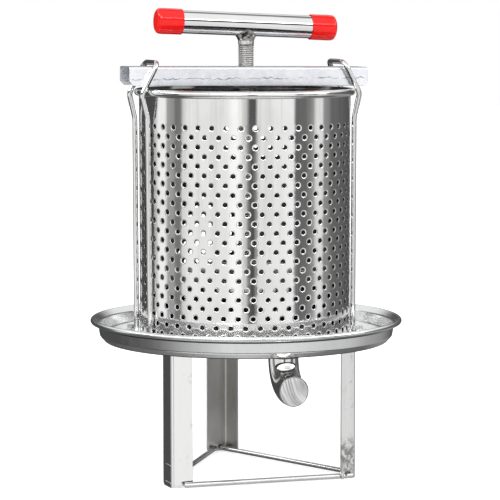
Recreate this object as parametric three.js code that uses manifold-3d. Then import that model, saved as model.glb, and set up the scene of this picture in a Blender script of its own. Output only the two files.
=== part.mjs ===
// Basket wine press: a stand of folded legs with a juice tray, a perforated basket, two swing-out
// loops that hold down a crossbar, and a screw that turns in the crossbar and drives a press plate.
// Millimetres. +Z is up, the spout points to -Y, the crossbar lies along X.
// The origin is on the ground, under the centre of the tray.
import * as THREE from 'three';
import * as BufferGeometryUtils from 'three/addons/utils/BufferGeometryUtils.js';
import Module from 'manifold-3d';

const wasm = await Module();
wasm.setup();

// ---- Driving dimensions -------------------------------------------------------------------
const GAP = 0.3; // between pieces that touch or are welded

const TRAY_UNDERSIDE = 130.3;
const TRAY_SHEET = 1.2;
const TRAY_FLOOR_RADIUS = 136;
const TRAY_CORNER_RADIUS = 141; // where the floor's chamfer meets the wall
const TRAY_CORNER_Z = 135.8;
const TRAY_WALL_TOP_RADIUS = 142.8;
const TRAY_WALL_TOP_Z = 146.5;
const TRAY_BEAD_CENTRE_RADIUS = 147.5;
const TRAY_BEAD_Z = 149.8;
const TRAY_BEAD_RADIUS = 2.5;
const ROUND_SEGMENTS = 64;

const SPOUT_OUTER_RADIUS = 14;
const SPOUT_BORE_RADIUS = 13;
const SPOUT_CENTRE_Y = -117.5;
const SPOUT_BEND_RADIUS = 27;
const SPOUT_STUB_LENGTH = 1.5;
const SPOUT_LIP_LENGTH = 4.5;

const LEG_SHEET = 1.5;
const LEG_FOLD_ROUND = 3;
const LEG_CORNER_ROUND = 4;
const LEG_HEIGHT = TRAY_UNDERSIDE - GAP;
const LEGS = [
  // the fold's place in plan, the bearing of its first flange from +X in degrees, and both widths
  { name: 'left_leg', corner: [-90.6, -58.5], bearing: 6, widths: [21.2, 22.5] },
  { name: 'right_leg', corner: [93.4, -55.9], bearing: 118, widths: [18.7, 20.8] },
  { name: 'rear_leg', corner: [16, 120.6], bearing: 196, widths: [24.2, 22.6] },
];

const FOOT_ROD_RADIUS = 2.4;
const FOOT_ROD_Z = 3.2;
const FRONT_ROD_Y = -61.3;
const FOOT_RODS = [
  { name: 'front_foot_rod', from: [-79, FRONT_ROD_Y], to: [88, FRONT_ROD_Y] },
  { name: 'left_foot_rod', from: [-88.2, -38.2], to: [0.5, 111.3] },
  { name: 'right_foot_rod', from: [89.5, -42], to: [9, 115.2] },
];

const UPPER_OFFSET = -1.2; // the basket, crossbar and loops sit this far along X from the screw
const BASKET_RADIUS = 101.1;
const BASKET_SHEET = 1.2;
const BASKET_BOTTOM = 131.8;
const BASKET_BEAD_CENTRE_RADIUS = 102.2;
const BASKET_BEAD_Z = 369.1;
const BASKET_BEAD_RADIUS = 3.4;
const BASKET_FLOOR_Z = 133.5;
const BASKET_FLOOR_RADIUS = 99.6;
const BASKET_FLOOR_HOLE_RADIUS = 3;
const BASKET_FLOOR_HOLE_RINGS = [[30, 8], [60, 14], [86, 20]]; // ring radius, holes in the ring

const BAR_LENGTH = 236.4;
const BAR_DEPTH = 37;
const BAR_TOP = 393;
const BAR_UNDERSIDE = 375;
const BAR_SHEET = 2.5;
const BAR_CORNER_CUT = 4;
const BAR_HOLE_RADIUS = 8.5;
const BAR_TILT = 0.45; // degrees, the left end is the higher one

const NUT_RADIUS = 12;
const NUT_BORE_RADIUS = 8.05;
const NUT_BOTTOM = 375.5;

const SCREW_RADIUS = 7.75;
const SCREW_SHOULDER_Z = 204.1;
const SCREW_NECK_Z = 417.5;
const SCREW_NECK_RADIUS = 7.2;
const SCREW_TOP = 421.5;
const SPIGOT_RADIUS = 4.5;
const SPIGOT_BORE_RADIUS = 4.8;
const SPIGOT_BOTTOM = 175;

const PLATE_UNDERSIDE = 185;
const PLATE_TOP = 188;
const PLATE_RADIUS = 97;
const PLATE_RIM_TOP = 195;
const PLATE_RIM_WIDTH = 3;
const HUB_RADIUS = 18;
const HUB_TOP = 202;
const WASHER_RADIUS = 12;
const WASHER_THICKNESS = 1.5;
const LOCK_NUT_ACROSS_FLATS = 14;
const LOCK_NUT_BOTTOM = 176.4;
const LOCK_NUT_HEIGHT = 6.5;

const HANDLE_Z = 433;
const HANDLE_LENGTH = 179;
const HANDLE_RADIUS = 11;
const HANDLE_BORE_RADIUS = 9.8;
const HANDLE_TILT = 2.3; // degrees, the left end is the higher one
const GRIP_RADIUS = 12.3;
const GRIP_BORE_RADIUS = 11.3;
const GRIP_LENGTH = 25.6;
const GRIP_END_WALL = 2.5;
const GRIP_EDGE_ROUND = 5;

const LOOP_ROD_RADIUS = 2.5;
const PIVOT_REACH = 101.1; // from the basket's centre to the hinge line
const PIVOT_Z = 138.5;
const TOE_TIP = 43; // the toes point away from the middle plane
const LOOP_CORNERS = [
  // reach from the basket's centre, distance from the middle plane, height, and the bend's radius
  [PIVOT_REACH, 26, PIVOT_Z, 4],
  [102.4, 24.2, 344, 30],
  [107.8, 24, 367.4, 8],
  [92.3, 24, 397.3, 8],
];
const CLIP_SHEET = 2;
const CLIP_BOTTOM = 131.8;
const CLIP_TOP = 144;
const CLIP_EAR = 37; // the ear's near face, from the middle plane
const CLIP_BASE_END = 47;
const CLIP_REACH = [97, 107];
const PIVOT_HOLE_RADIUS = 2.9;

// ---- Materials ----------------------------------------------------------------------------
const steel = (color, roughness) => new THREE.MeshStandardMaterial({ color, roughness, metalness: 1 });
const mirrorSteel = steel(0xd9dadb, 0.12);
const satinSteel = steel(0xb4b5b3, 0.4);
const sheetSteel = steel(0xcfd0d0, 0.28);
const zincSteel = steel(0xd3d8e2, 0.42);
const threadSteel = steel(0xa9a596, 0.4);
const redPlastic = new THREE.MeshStandardMaterial({ color: 0xd8201c, roughness: 0.3, metalness: 0 });

const press = new THREE.Group();

// ---- Geometry helpers ---------------------------------------------------------------------
const radians = THREE.MathUtils.degToRad;

// A closed solid from a geometry: shared vertices are merged so that the faces join up.
function solid(geometry) {
  const plain = geometry.index ? geometry.toNonIndexed() : geometry.clone();
  plain.deleteAttribute('normal');
  plain.deleteAttribute('uv');
  const merged = BufferGeometryUtils.mergeVertices(plain, 1e-4);
  const mesh = new wasm.Mesh({
    numProp: 3,
    vertProperties: new Float32Array(merged.attributes.position.array),
    triVerts: new Uint32Array(merged.index.array),
  });
  return new wasm.Manifold(mesh);
}

function geometryOf(body) {
  const mesh = body.getMesh();
  return indexedGeometry(mesh.vertProperties, mesh.triVerts);
}

function indexedGeometry(positions, index) {
  const geometry = new THREE.BufferGeometry();
  geometry.setAttribute('position', new THREE.BufferAttribute(new Float32Array(positions), 3));
  geometry.setIndex(Array.from(index));
  geometry.computeVertexNormals();
  return geometry;
}

function addPiece(name, geometry, material, parent = press) {
  const mesh = new THREE.Mesh(geometry, material);
  mesh.name = name;
  parent.add(mesh);
  return mesh;
}

// A turned solid from a profile of [radius, z] points, its axis on Z.
function turned(profile, segments = ROUND_SEGMENTS) {
  const points = profile.map(([radius, z]) => new THREE.Vector2(radius, z));
  return new THREE.LatheGeometry(points, segments).rotateX(Math.PI / 2);
}

// A turned ring with a rectangular section.
function ring(innerRadius, outerRadius, bottom, top, segments) {
  const corners = [[innerRadius, bottom], [outerRadius, bottom], [outerRadius, top], [innerRadius, top]];
  return turned([...corners, corners[0]], segments);
}

// Points on a circle's arc in the radius-height plane, angles in degrees.
function arc(centreRadius, centreZ, radius, from, to, steps) {
  return Array.from({ length: steps + 1 }, (_, i) => {
    const angle = radians(from + ((to - from) * i) / steps);
    return [centreRadius + radius * Math.cos(angle), centreZ + radius * Math.sin(angle)];
  });
}

// An upright cylinder to cut with.
function drill(radius, bottom, top, x, y, segments) {
  return new THREE.CylinderGeometry(radius, radius, top - bottom, segments)
    .rotateX(Math.PI / 2)
    .translate(x, y, (bottom + top) / 2);
}

// The points of a bent rod: straight runs between corners, each corner rounded to its own radius.
function bentPath(corners, radii, arcStep) {
  const points = [corners[0].clone()];
  for (let i = 1; i < corners.length - 1; i += 1) {
    const into = corners[i].clone().sub(corners[i - 1]).normalize();
    const out = corners[i + 1].clone().sub(corners[i]).normalize();
    const turn = into.angleTo(out);
    const setback = radii[i] * Math.tan(turn / 2);
    const start = corners[i].clone().addScaledVector(into, -setback);
    const sideways = out.clone().addScaledVector(into, -out.dot(into)).normalize();
    const centre = start.clone().addScaledVector(sideways, radii[i]);
    const steps = Math.max(2, Math.ceil(turn / arcStep));
    for (let k = 0; k <= steps; k += 1) {
      const angle = (turn * k) / steps;
      points.push(centre.clone()
        .addScaledVector(sideways, -radii[i] * Math.cos(angle))
        .addScaledVector(into, radii[i] * Math.sin(angle)));
    }
  }
  points.push(corners[corners.length - 1].clone());
  return points;
}

// Rings of points square to a path, one after another, for each of the radii.
function pathRings(points, radii, sides, firstNormal) {
  const last = points.length - 1;
  const positions = [];
  const normal = firstNormal.clone();
  const before = points[1].clone().sub(points[0]).normalize();
  points.forEach((point, i) => {
    const after = points[Math.min(i + 1, last)].clone().sub(points[Math.min(i, last - 1)]).normalize();
    const along = i === 0 || i === last ? after : before.clone().add(after).normalize();
    normal.addScaledVector(along, -normal.dot(along)).normalize();
    const across = new THREE.Vector3().crossVectors(along, normal);
    for (const radius of radii) {
      for (let k = 0; k < sides; k += 1) {
        const angle = (2 * Math.PI * k) / sides;
        const vertex = point.clone()
          .addScaledVector(normal, radius * Math.cos(angle))
          .addScaledVector(across, radius * Math.sin(angle));
        positions.push(vertex.x, vertex.y, vertex.z);
      }
    }
    before.copy(after);
  });
  return positions;
}

// A solid round rod along a path.
function sweptRod(points, radius, sides, firstNormal) {
  const positions = pathRings(points, [radius], sides, firstNormal);
  const index = [];
  const last = points.length - 1;
  for (let k = 0; k < sides; k += 1) {
    const next = (k + 1) % sides;
    for (let i = 0; i < last; i += 1) {
      const here = i * sides;
      const there = here + sides;
      index.push(here + k, here + next, there + next, here + k, there + next, there + k);
    }
    if (k > 0 && k < sides - 1) {
      index.push(0, next, k);
      index.push(last * sides, last * sides + k, last * sides + next);
    }
  }
  return indexedGeometry(positions, index);
}

// A pipe along a path: an outer and an inner skin joined at both ends.
function sweptPipe(points, outerRadius, innerRadius, sides, firstNormal) {
  const positions = pathRings(points, [outerRadius, innerRadius], sides, firstNormal);
  const index = [];
  const last = points.length - 1;
  const at = (ringNumber, skin, side) => (ringNumber * 2 + skin) * sides + (side % sides);
  const quad = (a, b, c, d) => index.push(a, b, c, a, c, d);
  for (let k = 0; k < sides; k += 1) {
    for (let i = 0; i < last; i += 1) {
      quad(at(i, 0, k), at(i, 0, k + 1), at(i + 1, 0, k + 1), at(i + 1, 0, k));
      quad(at(i, 1, k), at(i + 1, 1, k), at(i + 1, 1, k + 1), at(i, 1, k + 1));
    }
    quad(at(0, 0, k), at(0, 1, k), at(0, 1, k + 1), at(0, 0, k + 1));
    quad(at(last, 0, k), at(last, 0, k + 1), at(last, 1, k + 1), at(last, 1, k));
  }
  return indexedGeometry(positions, index);
}

// ---- Tray and spout -----------------------------------------------------------------------
const trayFloorTop = TRAY_UNDERSIDE + TRAY_SHEET;

function trayPan() {
  const pan = turned([
    [0, TRAY_UNDERSIDE],
    [TRAY_FLOOR_RADIUS, TRAY_UNDERSIDE],
    [TRAY_CORNER_RADIUS, TRAY_CORNER_Z],
    [TRAY_WALL_TOP_RADIUS, TRAY_WALL_TOP_Z],
    ...arc(TRAY_BEAD_CENTRE_RADIUS, TRAY_BEAD_Z, TRAY_BEAD_RADIUS, -150, 135, 8),
    [TRAY_WALL_TOP_RADIUS + 0.8, TRAY_WALL_TOP_Z + 3],
    [TRAY_WALL_TOP_RADIUS - TRAY_SHEET, TRAY_WALL_TOP_Z + 0.4],
    [TRAY_CORNER_RADIUS - TRAY_SHEET, TRAY_CORNER_Z + 0.5],
    [TRAY_FLOOR_RADIUS - 0.5, trayFloorTop],
    [0, trayFloorTop],
  ]);
  const drainHole = drill(SPOUT_BORE_RADIUS, TRAY_UNDERSIDE - 2, trayFloorTop + 2, 0, SPOUT_CENTRE_Y, 24);
  return geometryOf(solid(pan).subtract(solid(drainHole)));
}

// Down out of the tray, a quarter bend to the front, and a short lip.
function drainElbow() {
  const top = TRAY_UNDERSIDE - GAP;
  const mouthZ = top - SPOUT_STUB_LENGTH - SPOUT_BEND_RADIUS;
  const mouthY = SPOUT_CENTRE_Y - SPOUT_BEND_RADIUS - SPOUT_LIP_LENGTH;
  const corners = [
    new THREE.Vector3(0, SPOUT_CENTRE_Y, top),
    new THREE.Vector3(0, SPOUT_CENTRE_Y, mouthZ),
    new THREE.Vector3(0, mouthY, mouthZ),
  ];
  const path = bentPath(corners, [0, SPOUT_BEND_RADIUS, 0], radians(10));
  return sweptPipe(path, SPOUT_OUTER_RADIUS, SPOUT_BORE_RADIUS, 24, new THREE.Vector3(1, 0, 0));
}

addPiece('tray_pan', trayPan(), satinSteel);
addPiece('drain_elbow', drainElbow(), mirrorSteel);

// ---- Stand --------------------------------------------------------------------------------
// What is cut off a flange's free foot corner to round it, for a flange along X.
function footCornerCut(width) {
  const round = LEG_CORNER_ROUND;
  const shape = new THREE.Shape();
  shape.moveTo(width - round, -1);
  shape.lineTo(width + 1, -1);
  shape.lineTo(width + 1, round);
  shape.lineTo(width, round);
  shape.absarc(width - round, round, round, 0, -Math.PI / 2, true);
  const options = { depth: 6, bevelEnabled: false, curveSegments: 5 };
  return new THREE.ExtrudeGeometry(shape, options).rotateX(Math.PI / 2).translate(0, 4, 0);
}

// A folded angle with its outer corner at the origin, its flanges along +X and +Y.
function foldedLeg([firstWidth, secondWidth]) {
  const fold = LEG_FOLD_ROUND;
  const section = new THREE.Shape();
  section.moveTo(fold, 0);
  section.lineTo(firstWidth, 0);
  section.lineTo(firstWidth, LEG_SHEET);
  section.lineTo(fold, LEG_SHEET);
  section.absarc(fold, fold, fold - LEG_SHEET, -Math.PI / 2, -Math.PI, true);
  section.lineTo(LEG_SHEET, secondWidth);
  section.lineTo(0, secondWidth);
  section.lineTo(0, fold);
  section.absarc(fold, fold, fold, Math.PI, 1.5 * Math.PI, false);
  const options = { depth: LEG_HEIGHT, bevelEnabled: false, curveSegments: 5 };
  const angle = solid(new THREE.ExtrudeGeometry(section, options));
  const firstCut = footCornerCut(firstWidth);
  const secondCut = footCornerCut(secondWidth).rotateZ(Math.PI / 2).scale(-1, 1, 1);
  return angle.subtract(solid(firstCut)).subtract(solid(flipped(secondCut)));
}

// Turns the faces over, for a geometry that has been mirrored.
function flipped(geometry) {
  const plain = geometry.index ? geometry.toNonIndexed() : geometry;
  const positions = plain.attributes.position.array;
  for (let i = 0; i < positions.length; i += 9) {
    for (let k = 0; k < 3; k += 1) {
      [positions[i + 3 + k], positions[i + 6 + k]] = [positions[i + 6 + k], positions[i + 3 + k]];
    }
  }
  return plain;
}

// The arch cut through the right leg's foot, along the front rod.
function rodNotch() {
  const radius = FOOT_ROD_RADIUS + GAP;
  const tunnel = new THREE.CylinderGeometry(radius, radius, 30, 16).rotateZ(Math.PI / 2);
  const slot = new THREE.BoxGeometry(30, 2 * radius, FOOT_ROD_Z + 1).translate(0, 0, -(FOOT_ROD_Z + 1) / 2);
  return solid(tunnel).add(solid(slot));
}

for (const leg of LEGS) {
  const placed = new THREE.Matrix4()
    .makeTranslation(leg.corner[0], leg.corner[1], 0)
    .multiply(new THREE.Matrix4().makeRotationZ(radians(leg.bearing)));
  let body = solid(geometryOf(foldedLeg(leg.widths)).applyMatrix4(placed));
  if (leg.name === 'right_leg') {
    const notch = geometryOf(rodNotch()).translate(leg.corner[0] - 11, FRONT_ROD_Y, FOOT_ROD_Z);
    body = body.subtract(solid(notch));
  }
  addPiece(leg.name, geometryOf(body), sheetSteel);
}

for (const footRod of FOOT_RODS) {
  const from = new THREE.Vector3(...footRod.from, FOOT_ROD_Z);
  const to = new THREE.Vector3(...footRod.to, FOOT_ROD_Z);
  addPiece(footRod.name, sweptRod([from, to], FOOT_ROD_RADIUS, 12, new THREE.Vector3(0, 0, 1)), mirrorSteel);
}

// ---- Basket -------------------------------------------------------------------------------
const basketBore = BASKET_RADIUS - BASKET_SHEET;
const basketProfile = [
  [basketBore, BASKET_BOTTOM],
  [BASKET_RADIUS, BASKET_BOTTOM],
  ...arc(BASKET_BEAD_CENTRE_RADIUS, BASKET_BEAD_Z, BASKET_BEAD_RADIUS, -109, 120, 9),
  [basketBore + 0.6, BASKET_BEAD_Z + 1.6],
  [basketBore, BASKET_BEAD_Z - 0.4],
];
addPiece('basket_wall', turned([...basketProfile, basketProfile[0]]), mirrorSteel).position.x = UPPER_OFFSET;

function basketFloor() {
  const top = BASKET_FLOOR_Z + BASKET_SHEET;
  const disc = turned([[0, BASKET_FLOOR_Z], [BASKET_FLOOR_RADIUS, BASKET_FLOOR_Z], [BASKET_FLOOR_RADIUS, top], [0, top]]);
  let body = solid(disc);
  for (const [radius, count] of BASKET_FLOOR_HOLE_RINGS) {
    for (let i = 0; i < count; i += 1) {
      const angle = (2 * Math.PI * i) / count;
      const x = radius * Math.cos(angle);
      const y = radius * Math.sin(angle);
      body = body.subtract(solid(drill(BASKET_FLOOR_HOLE_RADIUS, BASKET_FLOOR_Z - 1, top + 1, x, y, 8)));
    }
  }
  return geometryOf(body);
}

addPiece('basket_floor', basketFloor(), satinSteel).position.x = UPPER_OFFSET;

// ---- Crossbar and its bush ----------------------------------------------------------------
// Carries a profile drawn in the YZ plane along X, centred on the middle.
function alongX(shape, length) {
  return new THREE.ExtrudeGeometry(shape, { depth: length, bevelEnabled: false })
    .translate(0, 0, -length / 2)
    .rotateX(Math.PI / 2)
    .rotateZ(Math.PI / 2);
}

function crossbarChannel() {
  const half = BAR_DEPTH / 2;
  const inner = half - BAR_SHEET;
  const webUnderside = BAR_TOP - BAR_SHEET;
  const section = new THREE.Shape([
    new THREE.Vector2(-half, BAR_UNDERSIDE),
    new THREE.Vector2(-inner, BAR_UNDERSIDE),
    new THREE.Vector2(-inner, webUnderside),
    new THREE.Vector2(inner, webUnderside),
    new THREE.Vector2(inner, BAR_UNDERSIDE),
    new THREE.Vector2(half, BAR_UNDERSIDE),
    new THREE.Vector2(half, BAR_TOP),
    new THREE.Vector2(-half, BAR_TOP),
  ]);
  let body = solid(alongX(section, BAR_LENGTH));
  body = body.subtract(solid(drill(BAR_HOLE_RADIUS, webUnderside - 1, BAR_TOP + 1, -UPPER_OFFSET, 0, 32)));
  for (const side of [-1, 1]) {
    const corner = new THREE.CylinderGeometry(BAR_CORNER_CUT, BAR_CORNER_CUT, 2 * BAR_DEPTH, 4)
      .translate((side * BAR_LENGTH) / 2, 0, BAR_UNDERSIDE);
    body = body.subtract(solid(corner));
  }
  return geometryOf(body);
}

const crossbar = addPiece('crossbar', crossbarChannel().translate(0, 0, -BAR_TOP), zincSteel);
crossbar.position.set(UPPER_OFFSET, 0, BAR_TOP);
crossbar.rotation.y = radians(BAR_TILT);
addPiece('screw_nut', ring(NUT_BORE_RADIUS, NUT_RADIUS, NUT_BOTTOM, BAR_TOP - BAR_SHEET - GAP, 32), zincSteel);

// ---- Press plate, screw and handle --------------------------------------------------------
const plateProfile = [
  [SPIGOT_BORE_RADIUS, PLATE_UNDERSIDE],
  [PLATE_RADIUS, PLATE_UNDERSIDE],
  [PLATE_RADIUS, PLATE_RIM_TOP],
  [PLATE_RADIUS - PLATE_RIM_WIDTH, PLATE_RIM_TOP],
  [PLATE_RADIUS - PLATE_RIM_WIDTH, PLATE_TOP],
  [SPIGOT_BORE_RADIUS, PLATE_TOP],
  [SPIGOT_BORE_RADIUS, PLATE_UNDERSIDE],
];
addPiece('press_plate', turned(plateProfile, 48), satinSteel);
addPiece('plate_hub', ring(SPIGOT_BORE_RADIUS, HUB_RADIUS, PLATE_TOP + GAP, HUB_TOP, 32), satinSteel);

const screwProfile = [
  [0, SPIGOT_BOTTOM],
  [SPIGOT_RADIUS, SPIGOT_BOTTOM],
  [SPIGOT_RADIUS, SCREW_SHOULDER_Z],
  [SCREW_RADIUS, SCREW_SHOULDER_Z],
  [SCREW_RADIUS, SCREW_NECK_Z],
  [SCREW_NECK_RADIUS, SCREW_NECK_Z + 0.6],
  [SCREW_NECK_RADIUS, SCREW_TOP],
  [0, SCREW_TOP],
];
addPiece('screw', turned(screwProfile, 24), threadSteel);

function washer(bottom) {
  return ring(SPIGOT_BORE_RADIUS, WASHER_RADIUS, bottom, bottom + WASHER_THICKNESS, 24);
}

addPiece('thrust_washer', washer(HUB_TOP + GAP), zincSteel);
addPiece('lock_washer', washer(PLATE_UNDERSIDE - GAP - WASHER_THICKNESS), zincSteel);

function hexNut(acrossFlats, boreRadius, bottom, height) {
  const corner = acrossFlats / Math.sqrt(3);
  const corners = Array.from({ length: 6 }, (_, i) => {
    const angle = (Math.PI * i) / 3;
    return new THREE.Vector2(corner * Math.cos(angle), corner * Math.sin(angle));
  });
  const prism = new THREE.ExtrudeGeometry(new THREE.Shape(corners), { depth: height, bevelEnabled: false })
    .translate(0, 0, bottom);
  return geometryOf(solid(prism).subtract(solid(drill(boreRadius, bottom - 1, bottom + height + 1, 0, 0, 24))));
}

addPiece(
  'lock_nut',
  hexNut(LOCK_NUT_ACROSS_FLATS, SPIGOT_BORE_RADIUS, LOCK_NUT_BOTTOM, LOCK_NUT_HEIGHT),
  zincSteel,
);

const handle = new THREE.Group();
handle.name = 'handle';
handle.rotation.y = radians(HANDLE_TILT);
handle.position.z = HANDLE_Z;
press.add(handle);

const halfTube = HANDLE_LENGTH / 2 - GRIP_END_WALL - GAP;
addPiece(
  'handle_tube',
  ring(HANDLE_BORE_RADIUS, HANDLE_RADIUS, -halfTube, halfTube, 32).rotateY(Math.PI / 2),
  mirrorSteel,
  handle,
);

// A closed-ended sleeve for the handle tube's end, its axis on Z, its closed end at the top.
function gripCap() {
  const round = GRIP_EDGE_ROUND;
  return turned([
    [GRIP_BORE_RADIUS, 0],
    [GRIP_RADIUS, 0],
    ...arc(GRIP_RADIUS - round, GRIP_LENGTH - round, round, 0, 80, 4),
    [0, GRIP_LENGTH],
    [0, GRIP_LENGTH - GRIP_END_WALL],
    [GRIP_BORE_RADIUS, GRIP_LENGTH - GRIP_END_WALL],
    [GRIP_BORE_RADIUS, 0],
  ], 32);
}

const gripOpenEnd = HANDLE_LENGTH / 2 - GRIP_LENGTH;
addPiece('left_grip', gripCap().rotateY(-Math.PI / 2).translate(-gripOpenEnd, 0, 0), redPlastic, handle);
addPiece('right_grip', gripCap().rotateY(Math.PI / 2).translate(gripOpenEnd, 0, 0), redPlastic, handle);

// ---- Swing-out loops and their clips ------------------------------------------------------
function loopRod(side) {
  const upright = LOOP_CORNERS.map(([reach, y, z]) => new THREE.Vector3(side * reach, -y, z));
  const bends = LOOP_CORNERS.map(([, , , radius]) => radius);
  const toe = new THREE.Vector3(side * PIVOT_REACH, -TOE_TIP, PIVOT_Z);
  const firstHalf = [toe, ...upright];
  const secondHalf = firstHalf.map((corner) => new THREE.Vector3(corner.x, -corner.y, corner.z)).reverse();
  const radii = [0, ...bends, ...bends.slice().reverse(), 0];
  const path = bentPath([...firstHalf, ...secondHalf], radii, radians(15));
  return sweptRod(path, LOOP_ROD_RADIUS, 10, new THREE.Vector3(1, 0, 0));
}

// A bent clip on the tray floor: its ear carries one toe of a loop, and its base points away
// from the middle plane. end is -1 for the front one and 1 for the rear one.
function hingeClip(side, end) {
  const earFar = CLIP_EAR + CLIP_SHEET;
  const section = new THREE.Shape([
    new THREE.Vector2(CLIP_EAR, CLIP_BOTTOM),
    new THREE.Vector2(CLIP_BASE_END, CLIP_BOTTOM),
    new THREE.Vector2(CLIP_BASE_END, CLIP_BOTTOM + CLIP_SHEET),
    new THREE.Vector2(earFar, CLIP_BOTTOM + CLIP_SHEET),
    new THREE.Vector2(earFar, CLIP_TOP),
    new THREE.Vector2(CLIP_EAR, CLIP_TOP),
  ]);
  const [near, far] = CLIP_REACH;
  const middle = (side * (near + far)) / 2;
  let body = solid(alongX(section, far - near).translate(middle, 0, 0));
  const pivotHole = new THREE.CylinderGeometry(PIVOT_HOLE_RADIUS, PIVOT_HOLE_RADIUS, 20, 16)
    .translate(side * PIVOT_REACH, CLIP_EAR, PIVOT_Z);
  body = body.subtract(solid(pivotHole));
  if (end > 0) return geometryOf(body);
  return flipped(geometryOf(body).scale(1, -1, 1));
}

const hinged = new THREE.Group();
hinged.position.x = UPPER_OFFSET;
press.add(hinged);
for (const [sideName, side] of [['left', -1], ['right', 1]]) {
  addPiece(`${sideName}_front_clip`, hingeClip(side, -1), satinSteel, hinged);
  addPiece(`${sideName}_rear_clip`, hingeClip(side, 1), satinSteel, hinged);
  addPiece(`${sideName}_loop`, loopRod(side), mirrorSteel, hinged);
}

export default press;
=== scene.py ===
"""Basket wine press: fine surfaces, finishes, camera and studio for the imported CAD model.

Lengths in the builders below are millimetres in the row frame: +Z up, the spout points to -Y,
and the crossbar lies along X. They turn into metres when a mesh is made.
"""

from math import atan2, ceil, cos, degrees, hypot, pi, radians, remainder, sin, sqrt, tan

import bmesh
import bpy
from mathutils import Matrix, Vector, noise


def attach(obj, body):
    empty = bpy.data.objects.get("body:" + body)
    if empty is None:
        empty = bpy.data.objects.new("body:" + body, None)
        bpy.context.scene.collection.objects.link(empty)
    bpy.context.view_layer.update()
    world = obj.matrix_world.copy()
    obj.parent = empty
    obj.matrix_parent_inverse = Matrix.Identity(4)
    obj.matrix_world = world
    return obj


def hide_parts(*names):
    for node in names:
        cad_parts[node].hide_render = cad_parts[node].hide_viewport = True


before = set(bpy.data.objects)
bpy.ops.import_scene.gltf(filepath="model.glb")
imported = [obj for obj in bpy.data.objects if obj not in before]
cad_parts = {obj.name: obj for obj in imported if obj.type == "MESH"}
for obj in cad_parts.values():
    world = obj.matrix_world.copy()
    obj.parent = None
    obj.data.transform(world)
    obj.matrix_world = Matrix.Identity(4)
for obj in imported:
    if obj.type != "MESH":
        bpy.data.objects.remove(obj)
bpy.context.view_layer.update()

MM = 0.001
GAP = 0.3  # between welded pieces
UPPER_OFFSET = -1.2  # the basket, crossbar and loops sit this far along X from the screw
X_WAY = Vector((1, 0, 0))
Z_WAY = Vector((0, 0, 1))
TURN_TO_X = Matrix.Rotation(pi / 2, 4, "Y")  # lays what stands on Z along X


# ---- Mesh builders ----
def new_object(name, data):
    obj = bpy.data.objects.new(name, data)
    bpy.context.scene.collection.objects.link(obj)
    return obj


def shade(mesh, sharp):
    mesh.shade_smooth()
    mesh.set_sharp_from_angle(angle=radians(sharp))


def make_object(name, verts, faces, material, sharp=35, turn=True, ring=None):
    """A mesh object from millimetre vertices, smooth but for edges sharper than that angle. With a
    ring value for each vertex, doubled vertices are joined."""
    mesh = bpy.data.meshes.new(name)
    mesh.from_pydata([tuple(c * MM for c in v) for v in verts], [], faces)
    mesh.materials.append(material)
    if ring:
        mesh.attributes.new("ring", "FLOAT", "POINT").data.foreach_set("value", ring)
    if turn:
        shell = bmesh.new()
        shell.from_mesh(mesh)
        if ring:
            bmesh.ops.remove_doubles(shell, verts=shell.verts, dist=0.02 * MM)
        bmesh.ops.recalc_face_normals(shell, faces=shell.faces)
        shell.to_mesh(mesh)
        shell.free()
    shade(mesh, sharp)
    return new_object(name, mesh)


def apply_modifiers(obj, sharp=35):
    """Bakes an object's modifiers into its mesh."""
    depsgraph = bpy.context.evaluated_depsgraph_get()
    mesh = bpy.data.meshes.new_from_object(obj.evaluated_get(depsgraph))
    obj.modifiers.clear()
    obj.data = mesh
    shade(mesh, sharp)
    return obj


def cut(obj, *cutters):
    """Takes the cutters' shapes out of an object and removes the cutters."""
    for cutter in cutters:
        modifier = obj.modifiers.new("cut", "BOOLEAN")
        modifier.solver = "EXACT"
        modifier.object = cutter
    apply_modifiers(obj)
    for cutter in cutters:
        bpy.data.objects.remove(cutter)
    return obj


def add_bevel(obj, width):
    """A modifier that rounds an object's sharp edges by a width in millimetres."""
    modifier = obj.modifiers.new("soften", "BEVEL")
    modifier.width = width * MM
    modifier.segments = 2
    modifier.limit_method = "ANGLE"
    modifier.angle_limit = radians(40)


def soften(obj, width):
    """Rounds an object's sharp edges for good."""
    add_bevel(obj, width)
    return apply_modifiers(obj, sharp=50)


def placed(obj, matrix):
    """Moves an object's mesh by a matrix whose translation is in millimetres."""
    scaled = matrix.copy()
    scaled.translation = matrix.translation * MM
    obj.data.transform(scaled)
    return obj


def paint(obj, material, chosen):
    """Gives a further material to the faces that chosen(middle in mm, normal, number) picks."""
    obj.data.materials.append(material)
    for face in obj.data.polygons:
        if chosen(face.center / MM, face.normal, face.index):
            face.material_index = len(obj.data.materials) - 1
    return obj


def stand_in_for(obj, slot_name, *nodes, body="stand"):
    """Puts a piece on its CAD body, in place of those CAD nodes, its flats shaded flat."""
    obj.modifiers.new("flat_shading", "WEIGHTED_NORMAL").keep_sharp = True
    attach(obj, body)
    if nodes:
        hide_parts(*nodes)


def circle(radius, z, segments):
    """Points evenly round the Z axis."""
    angles = [2 * pi * k / segments for k in range(segments)]
    return [(radius * cos(t), radius * sin(t), z) for t in angles]


def lathe(profile, segments, closed=False):
    """Vertices and faces of a profile of (radius, z) turned about Z."""
    verts = []
    rings = []
    for radius, z in profile:
        first = len(verts)
        on_axis = radius < 1e-6
        verts += [(0, 0, z)] if on_axis else circle(radius, z, segments)
        rings.append([first] * segments if on_axis else list(range(first, len(verts))))
    if closed:
        rings.append(rings[0])
    faces = []
    for lower, upper in zip(rings, rings[1:]):
        for k in range(segments):
            corners = [lower[k - 1], lower[k], upper[k], upper[k - 1]]
            face = [c for i, c in enumerate(corners) if c != corners[i - 1]]
            if len(face) > 2:
                faces.append(face)
    return verts, faces


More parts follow.
